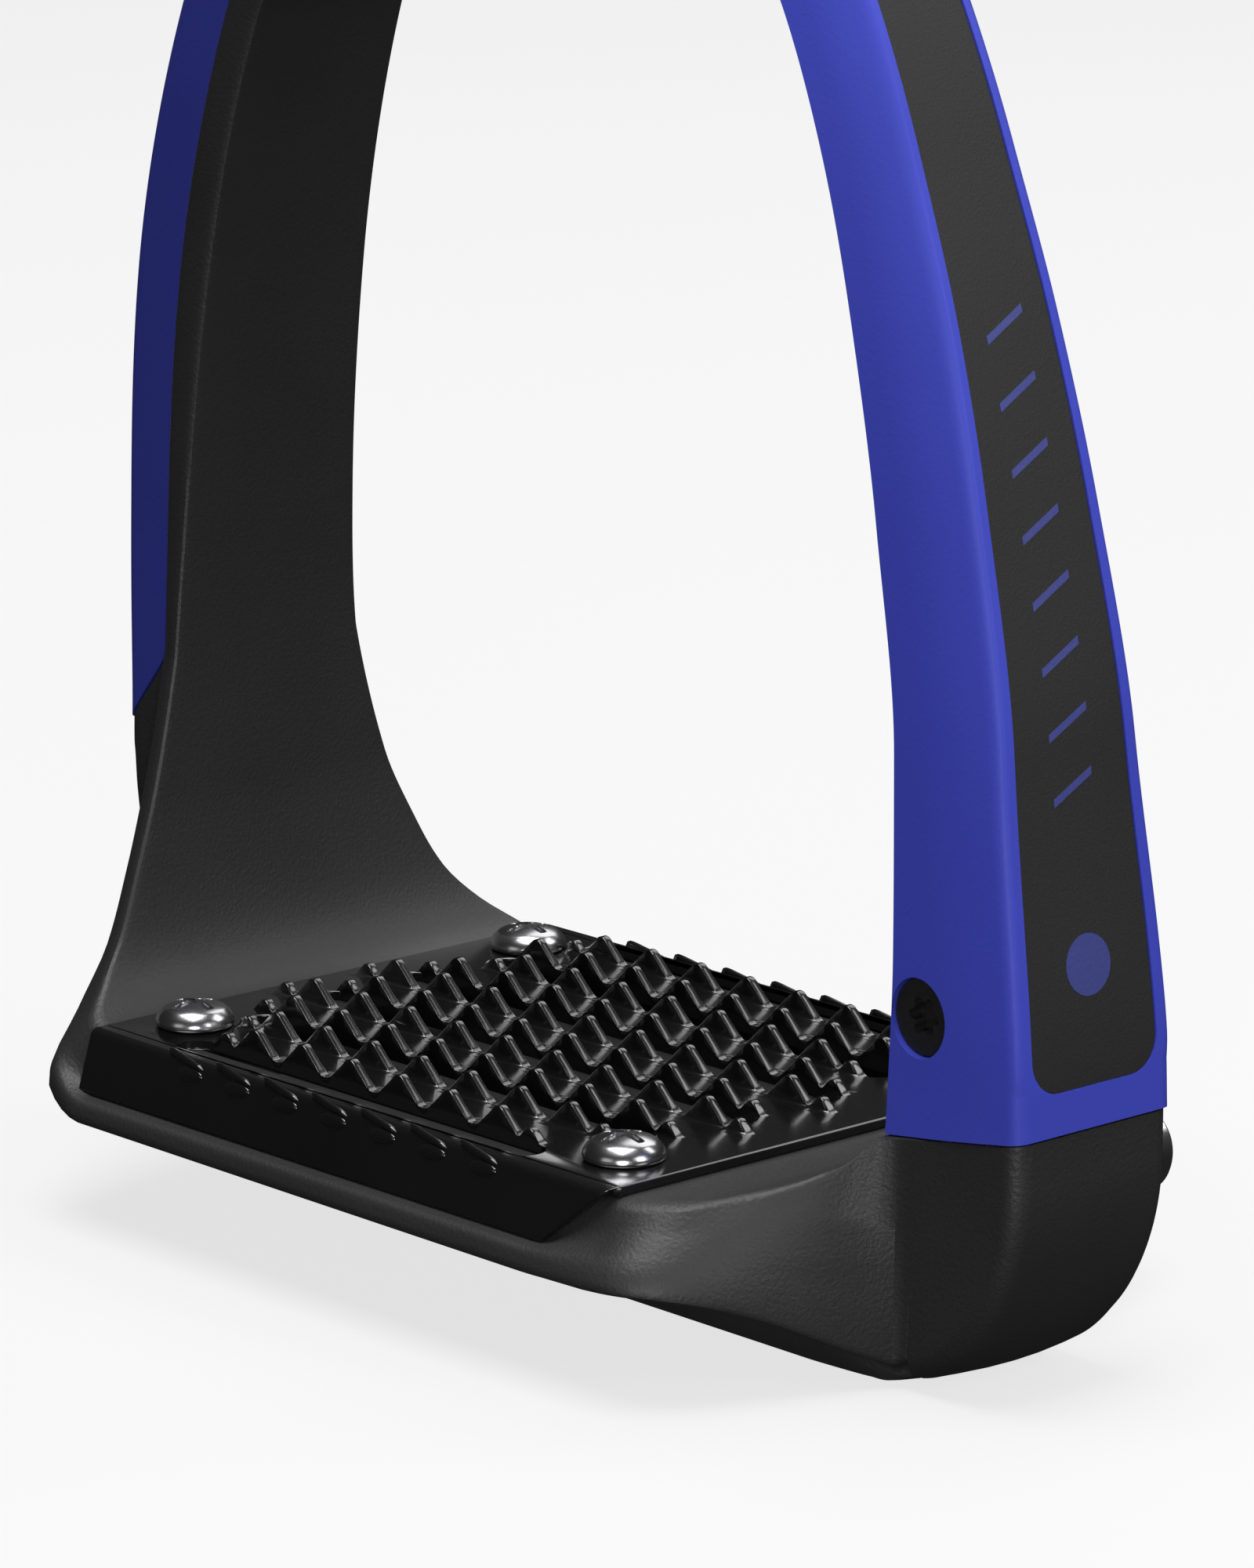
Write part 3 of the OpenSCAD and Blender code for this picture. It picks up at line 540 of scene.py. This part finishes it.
def lip(y, outward, reach, low_ends=True):
    """One lip of a slot, pressed up into teeth."""
    teeth = []
    k = -reach
    while k <= reach + 0.01:
        teeth.append((k * TOOTH_PITCH, TOOTH_H, 7.2))
        k += 1
    if low_ends:
        for side in (-1, 1):
            teeth.append((side * (reach * TOOTH_PITCH + 5.2), TOOTH_H * 0.5, 3.6))
    end = reach * TOOTH_PITCH + (7.4 if low_ends else 4.2)
    n = int(2 * end / 0.3)
    rings = []
    for i in range(n + 1):
        x = -end + 2 * end * i / n
        raw = sum(max(tooth_height(x + o - c, h, w) for c, h, w in teeth) for o in (-0.18, 0, 0.18)) / 3
        h = max(raw, 0.04) * soft_step(end - abs(x), 0, 0.8)
        k = min(1, h / 1.8)
        section = [(2.0, -0.1), (1.7, 0.0), (1.3, 0.06 * k), (0.98, 0.25 * k), (0.74, 0.6 * k),
                   (0.62, min(1.2 * k, 0.7 * h)), (0.56, h - 0.16 * k), (0.51, h - 0.05 * k), (0.4, h),
                   (-0.4, h), (-0.51, h - 0.05 * k), (-0.56, h - 0.16 * k), (-0.58, 0.3 * h), (-0.58, -1.1),
                   (0.3, -1.1)]
        rings.append([(ROW_X + x, y + outward * a, PLATE_TOP + b) for a, b in section])
    return bmesh_of(rings)


def slot_outline(y, half_length):
    r = 2.75
    right = circle_points(ROW_X + half_length - r, y, r, -90, 90, 12)
    left = circle_points(ROW_X - half_length + r, y, r, 90, 270, 12)
    return right + left


def fold_tab(x, side):
    """A low pressed tab on the fold: a rib that runs down over the fold, with a shallow dome under it."""
    rings = []
    for i in range(15):
        t = i / 14
        size = 0.4 * math.sqrt(max(0.02, 1 - (2 * t - 1) ** 6))
        cy, cz = FOLD_Y - 0.2 + 0.42 * t, PLATE_TOP + 0.42 - 1.2 * t
        section = [(size * math.cos(a), size * math.sin(a)) for a in
                   (math.radians(-30 + 210 * j / 10) for j in range(11))]
        section += [(-0.5, -0.7), (-0.1, -0.9)]
        rings.append([(x - 3.3 + 6.6 * t, side * (cy + a), cz + b) for a, b in section])
    bm = bmesh_of(rings)
    lean = math.atan2(SKIRT_Y - FOLD_Y, PLATE_TOP - SKIRT_Z)
    down = 1.7
    at = Vector((x + 1.2, side * (FOLD_Y + down * math.sin(lean)), PLATE_TOP - down * math.cos(lean)))
    dome = (Matrix.Translation(at * MM) @ Matrix.Rotation(side * lean, 4, "X")
            @ Matrix.Diagonal((2.2 * MM, 0.34 * MM, 0.8 * MM, 1)))
    bmesh.ops.create_uvsphere(bm, u_segments=28, v_segments=14, radius=1, matrix=dome)
    return bm


def tread_mesh():
    rows = [-2.5, -1.5, -0.5, 0.5, 1.5, 2.5]
    edge_y = FOLD_Y - 1.7
    c = 0.6
    sheet = [(PLATE_LEFT + c, -edge_y), (PLATE_RIGHT - c, -edge_y), (PLATE_RIGHT, -edge_y + c),
             (PLATE_RIGHT, edge_y - c), (PLATE_RIGHT - c, edge_y), (PLATE_LEFT + c, edge_y),
             (PLATE_LEFT, edge_y - c), (PLATE_LEFT, c - edge_y)]
    lengths = {2.5: 31.6, 1.5: 35.0, 0.5: 37.9}
    outlines = [sheet] + [slot_outline(r * ROW_PITCH, lengths[abs(r)]) for r in rows]
    flat = outline_mesh(outlines, SHEET, 0.28, "sheet_outline")
    bm = bmesh.new()
    add_mesh(bm, flat, Matrix.Translation((0, 0, (FLOOR_Z + SHEET / 2) * MM)))
    for side in (-1, 1):
        add_part(bm, skirt(side))
    for r in rows:
        parts = []
        if r > rows[0]:
            parts.append(lip(r * ROW_PITCH - LIP_Y, -1, 4 if abs(r) == 0.5 else 3))
        if r < rows[5]:
            parts.append(lip(r * ROW_PITCH + LIP_Y, 1, 2.5 if r == rows[0] else 3.5, r != rows[4]))
        for part in parts:
            add_part(bm, part)
    for side in (-1, 1):
        for k in range(-3, 4):
            add_part(bm, fold_tab(ROW_X + k * TOOTH_PITCH, side))
    return finish_mesh(bm, "tread_skin", gloss_black, 40)


tread_skin = tread_mesh()
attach(tread_skin, "frame_body")
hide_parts("tread_plate")


# ---------- arms ----------

def release_ring(u):
    s = station(ARM_KEYS, u)
    t, wi, wo = s[4], s[5], s[6]
    mid = (wi + wo) / 2 + 0.6
    z_face = s[2] + t * math.sin(math.radians(s[3]))
    full = wo * LABEL_PART + 0.05
    below = z_face - LABEL_Z
    deep = 0.55 if below >= 0 else 0.0
    wl = full
    if below < LABEL_CORNER:
        run = LABEL_CORNER - max(below, 0)
        wl = full - LABEL_CORNER + math.sqrt(max(0, LABEL_CORNER ** 2 - run ** 2))
    out = rounded([(0, wi), (t * 0.5, mid), (t, wo), (t, wl)], [0, 5, 1.9, 0], 6)
    out[0] = (0.25, wi)
    out = [(0, wi - 0.3)] + out + [(t - deep, wl - 0.01)]
    back = t - SHELL_T
    n = len(out) - 4
    inner = [(back * i / n, wi - SHELL_T + (wo - wi) * i / n) for i in range(n + 1)]
    inner += [(back, min(wl, wo - SHELL_T) * 0.8), (back, min(wl, wo - SHELL_T) * 0.6), (back, 1.0)]
    ring = mirrored(out) + list(reversed(mirrored(inner)))
    lift = SEAM_GAP if u == 0 else 0
    return [(p[0], p[1], p[2] + lift) for p in (place(s, q) for q in ring)]


def label_us():
    us = path(ARM_KEYS, 0, 147, 1.5)
    lo, hi = 0.0, 40.0
    for _ in range(50):
        mid = (lo + hi) / 2
        s = station(ARM_KEYS, mid)
        lo, hi = (mid, hi) if s[2] + s[4] * math.sin(math.radians(s[3])) < LABEL_Z else (lo, mid)
    start = hi
    corner = [start + LABEL_CORNER * (1 - math.cos(math.radians(a))) for a in range(12, 91, 13)]
    return start, sorted([u for u in us if abs(u - start) > 0.4] + [start - 0.01, start] + corner)


def label_ring(u):
    s = station(ARM_KEYS, u)
    z_face = s[2] + s[4] * math.sin(math.radians(s[3]))
    w = s[6] * LABEL_PART
    run = LABEL_CORNER - max(z_face - LABEL_Z, 0)
    if run > 0:
        w = w - LABEL_CORNER + math.sqrt(max(0.2, LABEL_CORNER ** 2 - run ** 2))
    t = s[4] - LABEL_SUNK
    half = [(t - 0.38, w)] + rounded([(t - 0.38, w), (t, w), (t, w * 0.5)], [0, 0.2, 0], 3)[1:] + [(t, 0.01)]
    return [place(s, q) for q in mirrored(half)]


def cover_ring(u):
    s = station(FRAME_KEYS, u)
    d, t, w, b = s[12] + AIR, s[4] + AIR + 2, s[11] - 0.7, s[13] + AIR
    out = [(d, w - 0.3)] + rounded([(d + 0.3, w), (t, w - 0.1), (t, 0.01)], [0, 1.5, 0], 6)
    tin = t - 2
    inner = [(d, b + 0.5)] + rounded([(d + 0.9, b), (tin, b), (tin, 0.01)], [0, 1.5, 0], 6)
    ring = mirrored(out) + list(reversed(mirrored(inner)))
    return [place(s, q, s[15] * max(0, q[0] - SLANT_AT)) for q in ring]


def lathe(profile, n, centre, axis, dent=None):
    """Turns a profile of (radius, height) about an axis; dent(x, y) sinks the face."""
    turn = Vector((0, 0, 1)).rotation_difference(Vector(axis)).to_matrix()
    bm = bmesh.new()
    rows = []
    for r, h in profile:
        row = []
        for i in range(n):
            a = 2 * math.pi * i / n
            x, y = r * math.cos(a), r * math.sin(a)
            z = h - (dent(x, y) if dent else 0)
            row.append(bm.verts.new((Vector(centre) + turn @ Vector((x, y, z))) * MM))
        rows.append(row)
    for a, b in zip(rows, rows[1:]):
        for i in range(n):
            bm.faces.new((a[i], a[(i + 1) % n], b[(i + 1) % n], b[i]))
    bm.faces.new(rows[0])
    bm.faces.new(rows[-1])
    bmesh.ops.recalc_face_normals(bm, faces=bm.faces)
    return bm


start, us = label_us()
rings = [release_ring(u) for u in us]
bm = bmesh_of(rings, caps=False)
u_caps(bm, rings)
release_skin = finish_mesh(bm, "release_skin", satin_blue, 38)
hole = lathe([(RECESS_R, -14), (RECESS_R, 0)], 72, (CROSS_AT[0], -9.2, CROSS_AT[1]), (0, 1, 0))
cutter = finish_mesh(hole, "recess_cutter", satin_blue)
cut(release_skin, cutter)
bm = bmesh.new()
bm.from_mesh(release_skin.data)
mark_sharp(bm, 38)
bm.to_mesh(release_skin.data)
bm.free()
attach(release_skin, "release_arm")
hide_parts("release_shell")

label_path = [start + 0.05] + [u for u in us if start + 0.1 < u <= 138]
label_skin = finish_mesh(bmesh_of([label_ring(u) for u in label_path]), "label_skin", charcoal, 40)
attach(label_skin, "release_arm")
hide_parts("label_inlay")


def on_label(z, along, across, lift):
    """A point on the label, at a height z on the arm, offset along and across it."""
    lo, hi = 0.0, 147.0
    for _ in range(50):
        mid = (lo + hi) / 2
        s = station(ARM_KEYS, mid)
        lo, hi = (mid, hi) if s[2] + s[4] * math.sin(math.radians(s[3])) < z + along else (lo, mid)
    s = station(ARM_KEYS, lo)
    return place(s, (s[4] - LABEL_SUNK + lift, across))


def mark(outline, z):
    """A thin inlaid mark on the label from an outline of (across, along) points."""
    bm = bmesh.new()
    low = [bm.verts.new([MM * c for c in on_label(z, a, w, -0.2)]) for w, a in outline]
    top = [bm.verts.new([MM * c for c in on_label(z, a, w, 0.03)]) for w, a in outline]
    n = len(outline)
    for i in range(n):
        bm.faces.new((low[i], low[(i + 1) % n], top[(i + 1) % n], top[i]))
    bm.faces.new(low)
    bm.faces.new(top)
    bmesh.ops.recalc_face_normals(bm, faces=bm.faces)
    return bm


bm = bmesh.new()
slant = math.tan(math.radians(25))
marks = [([(-3, -3 * slant - 0.45), (3, 3 * slant - 0.45), (3, 3 * slant + 0.45), (-3, -3 * slant + 0.45)],
          68.5 + 7 * k) for k in range(8)]
marks.append((circle_points(0, 0, 3.4, 0, 345, 23), 49.3))
for outline, z in marks:
    add_part(bm, mark(outline, z))
label_marks = finish_mesh(bm, "label_marks", mark_blue)
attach(label_marks, "release_arm")

rings = [cover_ring(u) for u in path(FRAME_KEYS, 18.6, 119.4, 1.5)]
bm = bmesh_of(rings, caps=False)
u_caps(bm, rings)
# The cover takes the darker blue copy: painted shade, not a different plastic.
cover_skin = finish_mesh(bm, "cover_skin", painted_shade_blue, 38)
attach(cover_skin, "frame_body")
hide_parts("arm_cover")


# ---------- screws ----------

def cross_dent(x, y):
    """A cross recess, tapering towards its ends."""
    def wing(a, b):
        width = 0.62 - 0.08 * abs(a)
        return soft_step(width - abs(b), -0.1, 0.1) * soft_step(2.8 - abs(a), -0.12, 0.12)
    return 1.5 * max(wing(x, y), wing(y, x))


def pan_profile():
    rim = [(4.35, 0), (4.66, 0.25), (4.72, 0.6), (4.6, 1.05), (4.3, 1.55), (3.85, 2.0)]
    top = []
    for i in range(40):
        r = 3.7 * (1 - i / 40) + 0.02
        top.append((r, 2.0 + 0.9 * (1 - (r / 3.85) ** 2) ** 0.75))
    return rim + top


for key, x, side in (("fl", 0, -1), ("fr", 1, -1), ("bl", 0, 1), ("br", 1, 1)):
    at = (SCREW_X[x], side * SCREW_Y, PLATE_TOP)
    bm = lathe(pan_profile(), 160, at, (0, 0, 1), cross_dent)
    screw = finish_mesh(bm, "tread_screw_skin_" + key, dark_chrome, 50)
    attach(screw, "frame_body")
    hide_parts("tread_screw_" + key)


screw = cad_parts["cross_screw"]
screw.data.materials.clear()
screw.data.materials.append(black_oxide)
bevel = screw.modifiers.new("soft_edges", "BEVEL")
bevel.width = 0.12 * MM
bevel.segments = 2
bevel.limit_method = "ANGLE"
bevel.angle_limit = math.radians(40)


# ---------- floor, light and camera ----------

def quad(name, size, at, material):
    bm = bmesh.new()
    bmesh.ops.create_grid(bm, x_segments=1, y_segments=1, size=size / 2)
    obj = finish_mesh(bm, name, material)
    obj.location = at
    return obj


floor_mat = surface("floor", (0.12, 0.12, 0.12), 0.9, vary=0.01, grain=300, blotch=3, specular=0.0)
floor_bsdf = floor_mat.node_tree.nodes["Principled BSDF"]
floor_bsdf.inputs["Emission Color"].default_value = (1, 1, 1, 1)
floor_bsdf.inputs["Emission Strength"].default_value = 0.74
floor = quad("floor", 30, (0, 3, -0.0003), floor_mat)
floor.visible_diffuse = False
floor.visible_glossy = False


def area(name, at, target, size, power):
    """A square lamp at one place, turned to face another."""
    data = bpy.data.lights.new(name, "AREA")
    data.shape = "RECTANGLE"
    data.size = size
    data.size_y = size
    data.energy = power
    obj = bpy.data.objects.new(name, data)
    obj.location = at
    obj.rotation_euler = (Vector(target) - Vector(at)).to_track_quat("-Z", "Y").to_euler()
    bpy.context.scene.collection.objects.link(obj)


area("top", (0, -0.15, 2.1), (0, 0, 0.08), 1.4, 62)
area("back_high", (-0.35, 0.9, 0.95), (0, 0, 0.08), 0.8, 4.5)
area("front", (0.0, -1.3, 0.45), (0, 0, 0.08), 0.6, 1.0)
area("low_right", (0.45, -0.45, 0.12), (0.07, 0, 0.02), 0.2, 1.9)
area("right_side", (0.68, 0.1, 0.35), (0.07, 0, 0.1), 0.35, 1.9)
area("right_back_high", (0.6, 0.9, 1.0), (0, 0, 0.08), 0.5, 3.8)

world = bpy.data.worlds.new("studio")
bpy.context.scene.world = world
world.use_nodes = True
world.node_tree.nodes["Background"].inputs["Color"].default_value = (0.93, 0.93, 0.93, 1)
world.node_tree.nodes["Background"].inputs["Strength"].default_value = 0.03

CAMERA_AT = (0.6138, -0.5551, 0.2553)
CAMERA_AZIMUTH = 47.669
CAMERA_ELEVATION = 13.586
CAMERA_LENS = 169.53

azimuth, elevation = math.radians(CAMERA_AZIMUTH), math.radians(CAMERA_ELEVATION)
forward = Vector((-math.sin(azimuth) * math.cos(elevation), math.cos(azimuth) * math.cos(elevation),
                  -math.sin(elevation)))
lens = bpy.data.cameras.new("camera")
lens.sensor_width = 36
lens.lens = CAMERA_LENS
lens.clip_end = 100
camera = bpy.data.objects.new("camera", lens)
camera.location = CAMERA_AT
camera.rotation_euler = forward.to_track_quat("-Z", "Y").to_euler()
bpy.context.scene.collection.objects.link(camera)
bpy.context.scene.camera = camera
bpy.context.scene.view_settings.view_transform = "Standard"

bpy.context.view_layer.update()
